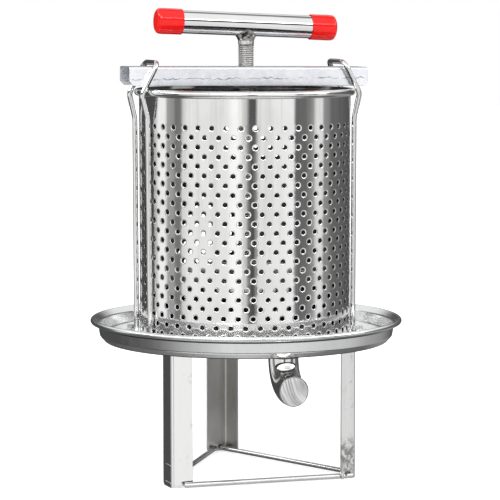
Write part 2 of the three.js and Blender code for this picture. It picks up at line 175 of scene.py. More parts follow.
def rounded(before, here, after, radius, steps=None, part=6):
    """Points that round a corner, in so many steps or in parts of so many degrees."""
    if radius <= 0:
        return [here]
    into = (here - before).normalized()
    out = (after - here).normalized()
    turn = into.angle(out)
    if turn < 1e-4:
        return [here]
    sideways = (out - into * out.dot(into)).normalized()
    centre = here - into * radius * tan(turn / 2) + sideways * radius
    steps = steps or max(2, ceil(degrees(turn) / part))
    angles = [turn * k / steps for k in range(steps + 1)]
    return [centre - sideways * radius * cos(t) + into * radius * sin(t) for t in angles]


def fillet(corners, closed=False, steps=6):
    """A 2D outline of (a, b, radius) corners, each rounded to its radius."""
    spots = [Vector(corner[:2]) for corner in corners]
    points = []
    for i, corner in enumerate(corners):
        radius = 0 if not closed and i in (0, len(corners) - 1) else corner[2]
        points += rounded(spots[i - 1], spots[i], spots[(i + 1) % len(spots)], radius, steps)
    return [tuple(point) for point in points]


def bent_path(corners, radii, part=6):
    """The points of a bent rod: straight runs between corners, each corner rounded to its radius."""
    points = [corners[0]]
    for before, here, after, radius in zip(corners, corners[1:], corners[2:], radii):
        points += rounded(before, here, after, radius, part=part)
    return points + [corners[-1]]


def arc(centre_a, centre_b, radius, start, end, steps):
    """Points on a circle's arc in a 2D outline, angles in degrees."""
    angles = [radians(start + (end - start) * i / steps) for i in range(steps + 1)]
    return [(centre_a + radius * cos(t), centre_b + radius * sin(t)) for t in angles]


def tube_faces(rings, sides, first=0, closed=False):
    """Faces that join rings of points one after another, and the last to the first if closed."""
    faces = []
    for i in range(rings if closed else rings - 1):
        here = first + i * sides
        there = first + (i + 1) % rings * sides
        pairs = [(k, (k + 1) % sides) for k in range(sides)]
        faces += [(here + k, here + after, there + after, there + k) for k, after in pairs]
    return faces


def capped_faces(rings, sides):
    """Faces of a solid made of rings of points: its sides and both its ends."""
    last = (rings - 1) * sides
    return tube_faces(rings, sides) + [list(range(sides)), list(range(last, last + sides))]


def extrude(outline, place, cuts):
    """A solid whose cross-section is a closed outline; place(a, b, t) gives a point at each cut t."""
    verts = [place(a, b, t) for t in cuts for a, b in outline]
    return verts, capped_faces(len(cuts), len(outline))


def turned(name, profile, segments, material):
    """A ring turned from a closed profile of (radius, z, corner radius)."""
    return make_object(name, *lathe(fillet(profile, closed=True), segments, closed=True), material)


def collar(bore, radius, low, high, rounds):
    """A plain ring's profile, with the rounding of its four corners from the lower inner one."""
    corners = [(bore, low), (radius, low), (radius, high), (bore, high)]
    return [(*corner, around) for corner, around in zip(corners, rounds)]


def path_rings(points, radii, sides, normal):
    """Rings of points square to a path, one for each point, each with its own radius."""
    verts = []
    last = len(points) - 1
    normal = normal.copy()
    for i, point in enumerate(points):
        before = (point - points[max(i - 1, 0)]).normalized()
        after = (points[min(i + 1, last)] - point).normalized()
        along = (before + after).normalized()
        normal = (normal - along * normal.dot(along)).normalized()
        across = along.cross(normal)
        for k in range(sides):
            angle = 2 * pi * k / sides
            verts.append(point + (normal * cos(angle) + across * sin(angle)) * radii[i])
    return verts


def rod(points, radius, sides, normal, end_round=0.8):
    """A solid round rod along a path, its ends eased by end_round."""
    start_in = (points[1] - points[0]).normalized()
    end_in = (points[-2] - points[-1]).normalized()
    ease = [(0.0, radius - end_round), (0.3 * end_round, radius - 0.35 * end_round), (end_round, radius)]
    head = [(points[0] + start_in * d, r) for d, r in ease]
    tail = [(points[-1] + end_in * d, r) for d, r in reversed(ease)]
    whole = head + [(p, radius) for p in points[1:-1]] + tail
    verts = path_rings([p for p, _ in whole], [r for _, r in whole], sides, normal)
    return verts, capped_faces(len(whole), sides)


def cylinder(radius, segments, matrix):
    """A cylinder to cut with, its middle at the origin and its axis on Z before matrix moves it."""
    half = 15
    verts, faces = lathe([(0, -half), (radius, -half), (radius, half), (0, half)], segments)
    return make_object("cutter", [matrix @ Vector(v) for v in verts], faces, plain)


def block(low, high, matrix=Matrix.Identity(4)):
    """A box to cut with, between two corners before matrix moves it."""
    outline = [(low[0], low[1]), (high[0], low[1]), (high[0], high[1]), (low[0], high[1])]
    verts, faces = extrude(outline, lambda a, b, t: matrix @ Vector((a, b, t)), [low[2], high[2]])
    return make_object("cutter", verts, faces, plain)


# ---- Finishes ----
class Nodes:
    """A node tree, joined by short calls."""

    def __init__(self, tree):
        self.nodes = tree.nodes
        self.links = tree.links

    def put(self, socket, value):
        if isinstance(value, bpy.types.NodeSocket):
            self.links.new(value, socket)
        else:
            socket.default_value = value

    def node(self, kind, *values, output=0, settings=None, **inputs):
        made = self.nodes.new(kind)
        for key, value in (settings or {}).items():
            setattr(made, key, value)
        for socket, value in zip(made.inputs, values):
            self.put(socket, value)
        for key, value in inputs.items():
            self.put(made.inputs[key.replace("_", " ")], value)
        return made.outputs[output]

    def math(self, operation, a, b=0.0):
        return self.node("ShaderNodeMath", a, b, settings={"operation": operation})

    def remap(self, value, low, high, new_low=0, new_high=1):
        return self.node("ShaderNodeMapRange", Value=value, From_Min=low, From_Max=high,
                         To_Min=new_low, To_Max=new_high)

    def spread(self, noise, new_low, new_high):
        """The middle of a noise's range, spread from one value to another."""
        return self.remap(noise, 0.3, 0.7, new_low, new_high)

    def mix(self, factor, a, b):
        made = self.nodes.new("ShaderNodeMix")
        made.data_type = "RGBA"
        for place, value in ((0, factor), (6, a), (7, b)):
            self.put(made.inputs[place], (*value, 1) if isinstance(value, tuple) else value)
        return made.outputs[2]


class Graph(Nodes):
    """A material's nodes."""

    def __init__(self, name):
        self.material = bpy.data.materials.new(name)
        self.material.use_nodes = True
        super().__init__(self.material.node_tree)
        self.place = self.nodes.new("ShaderNodeTexCoord").outputs["Object"]

    def axes(self):
        split = self.nodes.new("ShaderNodeSeparateXYZ")
        self.links.new(self.place, split.inputs[0])
        return split.outputs

    def stretched(self, *scale):
        return self.node("ShaderNodeMapping", Vector=self.place, Scale=scale)

    def noise(self, scale, detail=3.0, roughness=0.5, vector=None):
        return self.node("ShaderNodeTexNoise", Vector=vector or self.place, Scale=scale,
                         Detail=detail, Roughness=roughness)

    def bump(self, height, distance, normal=None):
        under = {"Normal": normal} if normal else {}
        return self.node("ShaderNodeBump", Distance=distance * MM, Height=height, **under)

    def finish(self, color, roughness, metallic=1.0, normal=None, **sockets):
        sockets.update(Base_Color=color, Roughness=roughness, Metallic=metallic)
        if normal:
            sockets["Normal"] = normal
        for key, value in sockets.items():
            self.put(self.nodes["Principled BSDF"].inputs[key.replace("_", " ")], value)
        return self.material


def steel(name, color, dull, roughness, spread, streak=(1, 1, 1), grain=240, bump=0.02, wave=0.0):
    """Steel that goes from color to dull in soft patches. Its roughness varies by spread along the
    streak, and its surface has a fine grain and, if asked, a slow wave."""
    g = Graph(name)
    along = g.stretched(*streak)
    tint = g.mix(g.remap(g.noise(14, 4, 0.55), 0.42, 0.68), color, dull)
    streaks = g.noise(grain, 4, 0.6, along)
    rough = g.spread(streaks, roughness - spread, roughness + spread)
    normal = g.bump(streaks, bump)
    if wave:
        normal = g.bump(g.noise(16, 2, 0.5, along), wave, normal)
    return g.finish(tint, rough, normal=normal)


def basket_finish():
    """Polished sheet with upright waves and streaks from rolling, and rubbed rings round its holes."""
    g = Graph("basket_polish")
    upright = g.stretched(1, 1, 0.04)
    slow = g.noise(26, 3, 0.55, upright)
    streaks = g.noise(120, 3, 0.6, upright)
    fine = g.noise(420, 2, 0.5, upright)
    ring = g.node("ShaderNodeAttribute", output=2, settings={"attribute_name": "ring"})
    tint = g.mix(g.remap(g.noise(22, 4, 0.6), 0.45, 0.75), (0.86, 0.86, 0.855), (0.77, 0.77, 0.76))
    tint = g.mix(g.remap(streaks, 0.52, 0.72, 0, 0.5), tint, (0.62, 0.62, 0.6))
    tint = g.mix(ring, tint, (0.95, 0.95, 0.95))
    rough = g.math("ADD", g.spread(fine, 0.05, 0.13), g.math("MULTIPLY", ring, 0.2))
    return g.finish(tint, rough, normal=g.bump(streaks, 0.012, g.bump(slow, 0.2)))


def zinc_finish():
    """Bluish zinc plating, cloudy, with a broken wavy scratch along the front and rear of the bar."""
    g = Graph("zinc_bar")
    cloud = g.noise(38, 5, 0.62)
    tint = g.mix(g.remap(cloud, 0.35, 0.7), (0.95, 0.965, 1.0), (0.8, 0.815, 0.87))
    lengthways = g.stretched(1, 0.01, 0.01)
    scratch_z = g.spread(g.noise(170, 3, 0.6, lengthways), 0.3806, 0.3832)
    height = g.math("SUBTRACT", g.axes()["Z"], scratch_z)
    width = g.remap(g.noise(120, 3, 0.7, lengthways), 0.35, 0.7, -0.0001, 0.00075)
    line = g.math("LESS_THAN", g.math("ABSOLUTE", height), width)
    sides = g.math("GREATER_THAN", g.math("ABSOLUTE", g.axes()["Y"]), 0.0176)
    scratch = g.math("MULTIPLY", line, sides)
    tint = g.mix(g.math("MULTIPLY", scratch, 0.7), tint, (0.2, 0.2, 0.27))
    rough = g.spread(g.noise(160, 4, 0.6), 0.16, 0.28)
    return g.finish(tint, rough, 0.8, g.bump(cloud, 0.08, g.bump(g.noise(420, 3, 0.6), 0.015)))


def tray_finish():
    """Satin sheet with rings from spinning, small dark specks and a few rubbed spots."""
    g = Graph("tray_satin")
    tint = g.mix(g.remap(g.noise(12, 4, 0.6), 0.4, 0.7), (0.88, 0.89, 0.885), (0.8, 0.81, 0.805))
    speck = g.node("ShaderNodeTexVoronoi", Vector=g.place, Scale=95.0)
    few = g.remap(g.noise(40, 2), 0.5, 0.62)
    dots = g.math("MULTIPLY", g.math("LESS_THAN", speck, 0.055), few)
    tint = g.mix(g.math("MULTIPLY", dots, 0.7), tint, (0.16, 0.16, 0.15))
    rough = g.spread(g.noise(260, 3, 0.6, g.stretched(1, 1, 0.2)), 0.17, 0.25)
    return g.finish(tint, rough, normal=g.bump(g.noise(20, 3, 0.5), 0.02))


def streaked_painted_light_finish():
    """The spout's bore: painted light, a white and partly diffuse finish so that it looks brightly lit, with
    grinding streaks that run along it.
    """
    g = Graph("pipe_inside_painted_light")
    streaks = g.noise(230, 3, 0.6, g.stretched(1, 0.03, 0.03))
    tint = g.mix(g.remap(streaks, 0.5, 0.62), (1, 1, 1), (0.5, 0.5, 0.5))
    return g.finish(tint, 0.28, 0.55, g.bump(streaks, 0.02))


def leg_finish():
    """Bright rolled sheet with upright drawing lines, faintly marked, and scuffed at the right foot."""
    g = Graph("leg_sheet")
    lines = g.noise(300, 3, 0.6, g.stretched(1, 1, 0.04))
    low = g.remap(g.axes()["Z"], 0.03, 0.042, 1, 0)
    on_right = g.math("GREATER_THAN", g.axes()["X"], 0.06)
    scuff = g.remap(g.noise(190, 5, 0.75), 0.42, 0.58)
    scuff = g.math("MULTIPLY", scuff, g.math("MULTIPLY", low, on_right))
    scuff = g.math("MAXIMUM", scuff, g.remap(g.noise(60, 5, 0.7), 0.56, 0.75, 0, 0.5))
    tint = g.mix(scuff, (0.88, 0.88, 0.875), (0.45, 0.45, 0.44))
    rough = g.math("ADD", g.spread(lines, 0.09, 0.15), g.math("MULTIPLY", scuff, 0.25))
    return g.finish(tint, rough, normal=g.bump(lines, 0.004))


def weld_finish():
    """Dark grey weld metal, with browner and bluer patches from the heat."""
    g = Graph("weld_metal")
    tint = g.mix(g.remap(g.noise(260, 4, 0.6), 0.4, 0.6), (0.22, 0.21, 0.2), (0.12, 0.11, 0.1))
    tint = g.mix(g.remap(g.noise(190, 3), 0.52, 0.66), tint, (0.13, 0.14, 0.16))
    rough = g.spread(g.noise(400, 3), 0.35, 0.55)
    return g.finish(tint, rough, normal=g.bump(g.noise(900, 3), 0.06))


def thread_finish_painted_root_shade():
    """Rolled thread: bright crests, and painted shade darkening the roots."""
    g = Graph("thread_steel")
    flat = g.node("ShaderNodeCombineXYZ", X=g.axes()["X"], Y=g.axes()["Y"], Z=0.0)
    reach = g.node("ShaderNodeVectorMath", flat, output=1, settings={"operation": "LENGTH"})
    # Painted shade: the tint darkens towards the thread's roots, where shade falls between the crests.
    tint = g.mix(g.remap(reach, 0.0067, 0.0076), (0.42, 0.41, 0.4), (0.8, 0.795, 0.78))
    rough = g.spread(g.noise(500, 3), 0.24, 0.42)
    return g.finish(tint, rough, normal=g.bump(g.noise(900, 3), 0.03))


def cap_finish():
    """Glossy dipped plastic, with a faint orange peel and tiny scuffs."""
    g = Graph("red_cap")
    tint = g.mix(g.remap(g.noise(180, 4, 0.7), 0.45, 0.75), (0.76, 0.008, 0.006), (0.64, 0.006, 0.008))
    rough = g.spread(g.noise(90, 4, 0.6), 0.06, 0.15)
    return g.finish(tint, rough, 0.0, g.bump(g.noise(140, 2, 0.5), 0.06), IOR=1.45)


plain = bpy.data.materials.new("plain")  # for what only cuts
# Painted shade: darker steel for the basket's inward faces and hole walls, standing in for the shade inside
# it.
basket_inside_painted_shade = steel("basket_inside_painted_shade", (0.24, 0.24, 0.235), (0.16, 0.16, 0.155), 0.14, 0.05,
                      streak=(1, 1, 0.1), grain=160, bump=0.01)
cut_edge = steel("cut_edge", (0.3, 0.3, 0.3), (0.2, 0.2, 0.2), 0.4, 0.05, grain=400)
# Painted shade: near-black steel for the crease under the tray's rim and the edge under its floor, where
# shadow falls.
painted_crease_shade = steel("painted_crease_shade", (0.1, 0.1, 0.1), (0.06, 0.06, 0.06), 0.4, 0.05, grain=400)
rod_polish = steel("rod_polish", (0.86, 0.86, 0.86), (0.76, 0.76, 0.75), 0.1, 0.03,
                   grain=60, bump=0.001, wave=0.02)
pipe_polish = steel("pipe_polish", (0.86, 0.86, 0.86), (0.74, 0.74, 0.73), 0.1, 0.04,
                    grain=120, bump=0.012, wave=0.1)
handle_polish = steel("handle_polish", (0.87, 0.875, 0.875), (0.77, 0.775, 0.77), 0.045, 0.02,
                      streak=(0.05, 1, 1), grain=200, bump=0.01, wave=0.05)
satin = steel("plate_satin", (0.6, 0.6, 0.59), (0.48, 0.48, 0.47), 0.32, 0.08, grain=220, wave=0.15)
clip_satin = steel("clip_satin", (0.6, 0.6, 0.59), (0.42, 0.42, 0.41), 0.3, 0.08, grain=260)
# Painted shade: a darker, duller copy of the leg sheet for the angles' inner faces, which lie in shade.
leg_inside_painted_shade = steel("leg_inside_painted_shade", (0.6, 0.595, 0.58), (0.48, 0.475, 0.46), 0.34, 0.08,
                   streak=(1, 1, 0.05), grain=260)
neck_steel = steel("neck_steel", (0.5, 0.5, 0.49), (0.3, 0.29, 0.28), 0.2, 0.06, bump=0.03, wave=0.1)
zinc_small = steel("zinc_small", (0.8, 0.82, 0.88), (0.62, 0.63, 0.68), 0.34, 0.08)
leg_sheet = leg_finish()
weld_metal = weld_finish()
red_cap = cap_finish()


# ---- Welds ----
def weld_run(name, points, radius, seed, slot_name, body="stand", material=weld_metal, normal=Z_WAY):
    """A weld run along a path on a body, its thickness rippling every few tenths of its width."""
    ripple = 1.3
    fine = []
    for start, end in zip(points, points[1:]):
        steps = max(1, round((end - start).length / (0.28 * ripple)))
        fine.extend(start.lerp(end, i / steps) for i in range(steps))
    fine.append(points[-1])
    radii = []
    travelled = 0
    for i, point in enumerate(fine):
        travelled += (point - fine[i - 1]).length if i else 0
        wave = 0.5 + 0.5 * cos(2 * pi * travelled / ripple)
        lump = noise.noise(point * 0.35 + Vector((seed, seed, 0)))
        ends = min(1, (min(i, len(fine) - 1 - i) + 0.6) / 3)
        radii.append(radius * (0.86 + 0.12 * wave + 0.22 * lump) * ends ** 0.5)
    sides = 10
    verts = path_rings(fine, radii, sides, normal)
    bead = make_object(name, verts, capped_faces(len(fine), sides), material, sharp=80)
    stand_in_for(bead, slot_name, body=body)


def weld_ring(name, y, z, radius, thickness, seed, slot_name, body="stand"):
    """A weld run all the way round a pipe or a collar that stands upright."""
    points = [Vector((a, y + b, z)) for a, b in arc(0, 0, radius, 0, 360, 48)]
    weld_run(name, points, thickness, seed, slot_name, body)


def weld_blob(name, centre, radius, seed):
    """A lump of weld metal on the stand."""
    half_circle = [pi * i / 10 for i in range(11)]
    verts, faces = lathe([(radius * sin(t), -radius * cos(t)) for t in half_circle], 16)
    moved = []
    for vert in verts:
        point = Vector(vert)
        swell = 1 + 0.35 * noise.noise(point * 0.9 / radius + Vector((seed, 0, seed)))
        moved.append(point * swell + centre)
    stand_in_for(make_object(name, moved, faces, weld_metal, sharp=80), "sheet_steel")


# ---- Tray and spout ----
TRAY_UNDERSIDE = 130.3
TRAY_SHEET = 1.2
TRAY_FLOOR = TRAY_UNDERSIDE + TRAY_SHEET
TRAY_FLOOR_RADIUS = 136
CORNER_RADIUS = 141  # where the floor's chamfer meets the wall
CORNER_Z = 135.8
WALL_TOP_RADIUS = 142.8
WALL_TOP_Z = 146.5
BEAD_ROOT_RADIUS = 145.3  # where the rolled rim leaves the wall, outside and inside
BEAD_ROOT_LOW = 148.6
BEAD_ROOT_HIGH = 151.2
SPOUT_Y = -117.5
SPOUT_RADIUS = 14
SPOUT_BORE = 13
SPOUT_BEND = 27
SPOUT_STUB = 1.5
SPOUT_LIP = 4.5


def tray():
    """The pressed pan with its rolled rim and drain hole. Its floor is a little wavy."""
    crease_z = WALL_TOP_Z - TRAY_SHEET
    under = fillet([
        (0, TRAY_UNDERSIDE, 0), (TRAY_FLOOR_RADIUS, TRAY_UNDERSIDE, 3),
        (CORNER_RADIUS, CORNER_Z, 4), (WALL_TOP_RADIUS - 0.2, crease_z, 0),
        (WALL_TOP_RADIUS, WALL_TOP_Z, 1.5), (BEAD_ROOT_RADIUS, BEAD_ROOT_LOW, 0),
    ])
    bead = arc(147.5, 149.8, 2.5, -145, 140, 22)
    inside = fillet([
        (BEAD_ROOT_RADIUS, BEAD_ROOT_HIGH, 0), (WALL_TOP_RADIUS - 1.1, WALL_TOP_Z + 0.9, 3),
        (CORNER_RADIUS - TRAY_SHEET, CORNER_Z + 0.5, 4),
        (TRAY_FLOOR_RADIUS - 0.6, TRAY_FLOOR, 3), (0, TRAY_FLOOR, 0),
    ])
    verts, faces = lathe(under[:-1] + bead + inside[1:], 192)
    wavy = []
    for x, y, z in verts:
        reach = hypot(x, y)
        on_floor = reach < TRAY_FLOOR_RADIUS - 2
        sag = 0.25 * noise.noise(Vector((x, y, 0)) * 0.02) * min(1, reach / 60) if on_floor else 0
        wavy.append((x, y, z + max(-0.2, min(sag, 0.2))))
    pan = make_object("tray", wavy, faces, tray_finish())
    cut(pan, cylinder(SPOUT_BORE, 48, Matrix.Translation((0, SPOUT_Y, TRAY_FLOOR))))

    # Painted shade: the faces under the rolled rim and round the pan's underside edge take the near-black
    # crease material.
    def shaded_crease(middle, normal, _):
        reach = middle.xy.length
        under_bead = (WALL_TOP_RADIUS - 0.4 < reach < BEAD_ROOT_RADIUS + 0.3
                      and crease_z < middle.z < BEAD_ROOT_LOW + 0.3 and normal.z < 0)
        under_pan = (TRAY_FLOOR_RADIUS - 1.6 < reach < TRAY_FLOOR_RADIUS + 1
                     and middle.z < TRAY_UNDERSIDE + 1 and normal.z < -0.5)
        return under_bead or under_pan

    return paint(pan, painted_crease_shade, shaded_crease)


def spout():
    """A thin pipe elbow: its outside, the rounded edge of its mouth, and its bore back up again."""
    top = TRAY_UNDERSIDE - GAP
    mouth_z = top - SPOUT_STUB - SPOUT_BEND
    mouth_y = SPOUT_Y - SPOUT_BEND - SPOUT_LIP
    corners = [Vector((0, SPOUT_Y, top)), Vector((0, SPOUT_Y, mouth_z)), Vector((0, mouth_y, mouth_z))]
    path = bent_path(corners, [SPOUT_BEND], 4)
    sides = 48
    rings = len(path)
    outside = path_rings(path, [SPOUT_RADIUS] * rings, sides, X_WAY)
    middle = (SPOUT_RADIUS + SPOUT_BORE) / 2
    edge = path_rings([path[-1], path[-1] + Vector((0, -0.35, 0))], [middle] * 2, sides, X_WAY)[sides:]
    bore = path_rings(path, [SPOUT_BORE] * rings, sides, X_WAY)
    for i in reversed(range(rings)):
        edge += bore[i * sides:(i + 1) * sides]
    faces = tube_faces(2 * rings + 1, sides, closed=True)
    pipe = make_object("spout", outside + edge, faces, pipe_polish, sharp=50)
    paint(pipe, cut_edge, lambda middle, normal, _: middle.y < mouth_y + 0.01 and normal.y < -0.4)
    bore_faces = range((rings + 1) * sides, 2 * rings * sides)
    # Painted light: the bore gets the lightened finish.
    return paint(pipe, streaked_painted_light_finish(), lambda middle, normal, number: number in bore_faces)


stand_in_for(tray(), "satin_steel", "tray_pan")
stand_in_for(spout(), "polished_steel", "drain_elbow")
weld_ring("spout_weld", SPOUT_Y, TRAY_UNDERSIDE - 0.6, SPOUT_RADIUS + 0.4, 0.9, 3, "polished_steel")

# ---- Legs and foot rods ----
LEG_SHEET = 1.5
LEG_FOLD_ROUND = 3
LEG_CORNER_ROUND = 4
LEG_TOP = TRAY_UNDERSIDE - GAP
LEGS = {
    # the fold's x and y, the bearing of its first flange, and both flanges' widths
    "left_leg": (-90.6, -58.5, 6, 21.2, 22.5),
    "right_leg": (93.4, -55.9, 118, 18.7, 20.8),
    "rear_leg": (16.0, 120.6, 196, 24.2, 22.6),
}
FOOT_ROD_RADIUS = 2.4
FOOT_ROD_Z = 3.2
FRONT_ROD_Y = -61.3
FOOT_RODS = {
    "front_foot_rod": ((-79, FRONT_ROD_Y), (88, FRONT_ROD_Y)),
    "left_foot_rod": ((-88.2, -38.2), (0.5, 111.3)),
    "right_foot_rod": ((89.5, -42), (9, 115.2)),
}
ROD_BLOBS = [(-87.8, -37.6, 2.6), (0.4, 110.9, 2.5), (89.2, -41.4, 2.5), (9.4, 114.6, 2.6)]  # x, y, radius
FRONT_WELD_RUN = [(-79.5, -59.3, 4.4), (-70.5, -58.6, 4.4)]  # over the front rod's left end
ARCH_CENTRE = Vector((83.6, -61.9, FOOT_ROD_Z))  # of the weld over its right end
ARCH_WAY = Vector((0.883, 0.469, 0))
ARCH_RADIUS = 3.4


def leg_frame(name):
    x, y, bearing = LEGS[name][:3]
    return Matrix.Translation((x, y, 0)) @ Matrix.Rotation(radians(bearing), 4, "Z")


def along_flange(flange, out, through):
    """A flange's own lengths, away from the fold and through the sheet, as the leg's x and y."""
    return (out, through) if flange == "first" else (through, out)


def foot_corner(flange, width):
    """A cutter that leaves a flange's free foot corner round."""
    inner = width - LEG_CORNER_ROUND
    outline = [(inner, -2), (width + 2, -2), (width + 2, LEG_CORNER_ROUND)]
    outline += arc(inner, LEG_CORNER_ROUND, LEG_CORNER_ROUND, 0, -90, 8)
    place = lambda a, b, t: Vector((*along_flange(flange, a, t), b))
    return make_object("cutter", *extrude(outline, place, [-2, 5]), plain)


def leg(name):
    """A folded sheet angle with round foot corners. The right one has a slot for the front rod."""
    widths = LEGS[name][3:]
    outline = [(widths[0], 0), (widths[0], LEG_SHEET)]
    outline += arc(LEG_FOLD_ROUND, LEG_FOLD_ROUND, LEG_FOLD_ROUND - LEG_SHEET, -90, -180, 6)
    outline += [(LEG_SHEET, widths[1]), (0, widths[1])]
    outline += arc(LEG_FOLD_ROUND, LEG_FOLD_ROUND, LEG_FOLD_ROUND, 180, 270, 10)
    verts, faces = extrude(outline, lambda a, b, t: Vector((a, b, t)), [0, 40, 80, LEG_TOP])
    angle = make_object(name + "_sheet", verts, faces, leg_sheet)
    cut(angle, *map(foot_corner, ("first", "second"), widths))
    placed(angle, leg_frame(name))
    if name == "right_leg":
        x = LEGS[name][0] - 11
        radius = FOOT_ROD_RADIUS + 0.35
        lying = Matrix.Translation((x, FRONT_ROD_Y, FOOT_ROD_Z)) @ TURN_TO_X
        cut(angle, block((x - 15, FRONT_ROD_Y - radius, -2), (x + 15, FRONT_ROD_Y + radius, FOOT_ROD_Z)))
        cut(angle, cylinder(radius, 32, lying))
    soften(angle, 0.25)
    to_leg = leg_frame(name).inverted()

    # Picks the inner faces that get the painted shade.
    def faces_inwards(middle, normal, _):
        spot = to_leg @ middle
        facing = to_leg.to_3x3() @ normal
        return (spot.x > 1.4 and facing.y > 0.7) or (spot.y > 1.4 and facing.x > 0.7)

    return paint(angle, leg_inside_painted_shade, faces_inwards)


for leg_name in LEGS:
    stand_in_for(leg(leg_name), "sheet_steel", leg_name)
    for flange, seed in (("first", 5), ("second", 9)):
        ends = [Vector((*along_flange(flange, out, -0.4), TRAY_UNDERSIDE - 0.9)) for out in (4, 17)]
        run = [leg_frame(leg_name) @ end for end in ends]
        weld_run(f"{leg_name}_weld_{flange}", run, 1.0, seed, "sheet_steel")

for rod_name, ends in FOOT_RODS.items():
    start, end = (Vector((*spot, FOOT_ROD_Z)) for spot in ends)
    points = [start.lerp(end, i / 12) for i in range(13)]
    bar = make_object(rod_name + "_bar", *rod(points, FOOT_ROD_RADIUS, 24, Z_WAY), rod_polish)
    stand_in_for(bar, "polished_steel", rod_name)

for number, (x, y, radius) in enumerate(ROD_BLOBS):
    weld_blob(f"rod_weld_{number}", Vector((x, y, FOOT_ROD_Z + 0.4)), radius, 3 + number)

weld_run("front_rod_weld_left", [Vector(point) for point in FRONT_WELD_RUN], 1.3, 15, "sheet_steel")
arch = [ARCH_CENTRE + ARCH_WAY * a + Z_WAY * b for a, b in arc(0, 0, ARCH_RADIUS, 0, 180, 12)]
weld_run("front_rod_weld_right", arch, 1.0, 17, "sheet_steel")
for number, z in enumerate((4.6, 21.2)):
    ends = [leg_frame("left_leg") @ Vector((-0.15, along, z)) for along in (2.5, 17)]
    weld_run(f"left_leg_dash_{number}", ends, 0.55, 21 + number, "sheet_steel", material=rod_polish)

# ---- Basket ----
BASKET_RADIUS = 101.1
BASKET_SHEET = 1.2
BASKET_BORE = BASKET_RADIUS - BASKET_SHEET
BASKET_BOTTOM = 131.8
SHOULDER_Z = 365.9
HOLE_COLUMNS = 46
HOLE_ROWS = 23
HOLE_RADIUS = 2.35
ROW_PITCH = 8.8
TOP_ROW_Z = 338.3
COLUMN_SLANT = radians(0.075) / ROW_PITCH  # the hole columns' lean, per millimetre downwards
COLUMN_PHASE = radians(253 - 1.9)
QUARTER = 2 * pi / HOLE_COLUMNS / 4  # of a column; the wall has one segment in each
QUARTERS = 4 * HOLE_COLUMNS
# Rings of points from the outer skin to the inner: radius (0 for the brick's edge), depth, rubbing.
SKIN_RINGS = [(0, 0.0, 0.0), (0, BASKET_SHEET, 0.0)]
HOLE_RINGS = [SKIN_RINGS[0], (3.75, 0.0, 0.0), (3.05, 0.03, 1.0), (HOLE_RADIUS, 0.3, 1.0),
              (HOLE_RADIUS, BASKET_SHEET, 0.2), SKIN_RINGS[1]]
# The brick: 16 points round a hole's share of the wall, in quarter columns and half rows from it.
BRICK = [(2 - i, 1) for i in range(4)] + [(-2, 1 - i / 2) for i in range(4)]
BRICK += [(-a, -b) for a, b in BRICK]
SEAM_ANGLE = radians(90)
FLOOR_UNDERSIDE = 133.5
FLOOR_TOP = 134.7
FLOOR_RADIUS = 99.6
FLOOR_HOLES = [(30, 8), (60, 14), (86, 20)]  # each ring's radius and its number of holes


def round_wall(angle, z, radius):
    """A point of the wall, whose hole columns lean a little."""
    turned = angle - COLUMN_SLANT * max(0, TOP_ROW_Z - z)
    return (UPPER_OFFSET + radius * cos(turned), radius * sin(turned), z)


def perforated_wall():
    """Outer and inner skins with the holes' walls between them, and a plain seam at the back."""
    verts = []
    ring = []
    faces = []
    for row in range(HOLE_ROWS):
        z = TOP_ROW_Z - row * ROW_PITCH
        for column in range(HOLE_COLUMNS):
            angle = COLUMN_PHASE + (4 * column + 2 * (row % 2)) * QUARTER
            on_seam = abs(remainder(angle - SEAM_ANGLE, 2 * pi)) < 1.8 * QUARTER
            loops = []
            for reach, depth, rubbed in SKIN_RINGS if on_seam else HOLE_RINGS:
                loops.append(range(len(verts), len(verts) + len(BRICK)))
                for quarter, half in BRICK:
                    up = half * ROW_PITCH / 2
                    share = reach / hypot(quarter * QUARTER * BASKET_RADIUS, up) if reach else 1
                    turned = angle + share * quarter * QUARTER
                    verts.append(round_wall(turned, z + share * up, BASKET_RADIUS - depth))
                    ring.append(rubbed)
            if on_seam:
                faces += [tuple(loops[0]), tuple(reversed(loops[1]))]
                continue
            for here, there in zip(loops, loops[1:]):
                faces += [(here[k - 1], here[k], there[k], there[k - 1]) for k in range(len(BRICK))]
    return verts, faces, ring


def add_plain_bands(verts, faces, ring):
    """The rolled rim above the holes and the plain foot below them, joined to the wall's edges."""
    top_z = TOP_ROW_Z + ROW_PITCH / 2
    low_z = TOP_ROW_Z - (HOLE_ROWS - 0.5) * ROW_PITCH
    rim = [(BASKET_RADIUS, z) for z in (top_z, 350, 360, 365.4)] + arc(102.2, 369.1, 3.4, -109, 120, 28)[1:]
    rim += [(100.3, 370.9), (100.1, 369.8)] + [(BASKET_BORE, z) for z in (368.6, 355, top_z)]
    foot = [
        (BASKET_BORE, low_z), (BASKET_BORE, BASKET_BOTTOM + 0.4), (BASKET_BORE + 0.3, BASKET_BOTTOM),
        (BASKET_RADIUS - 0.3, BASKET_BOTTOM), (BASKET_RADIUS, BASKET_BOTTOM + 0.4), (BASKET_RADIUS, low_z),
    ]
    for profile in (rim, foot):
        faces += tube_faces(len(profile), QUARTERS, len(verts))
        for radius, z in profile:
            verts += [round_wall(COLUMN_PHASE + step * QUARTER, z, radius) for step in range(QUARTERS)]
            ring += [0.0] * QUARTERS


def basket():
    """The perforated wall, with painted shade: darker on every face that looks inwards."""
    verts, faces, ring = perforated_wall()
    add_plain_bands(verts, faces, ring)

    # Picks the faces that get the painted shade.
    def looks_inwards(middle, normal, _):
        spoke = middle.xy - Vector((UPPER_OFFSET, 0))
        limit = 0.3 if middle.z < SHOULDER_Z else 0
        return normal.xy.dot(spoke) < limit * spoke.length

    wall = make_object("basket", verts, faces, basket_finish(), sharp=50, ring=ring)
    return paint(wall, basket_inside_painted_shade, looks_inwards)


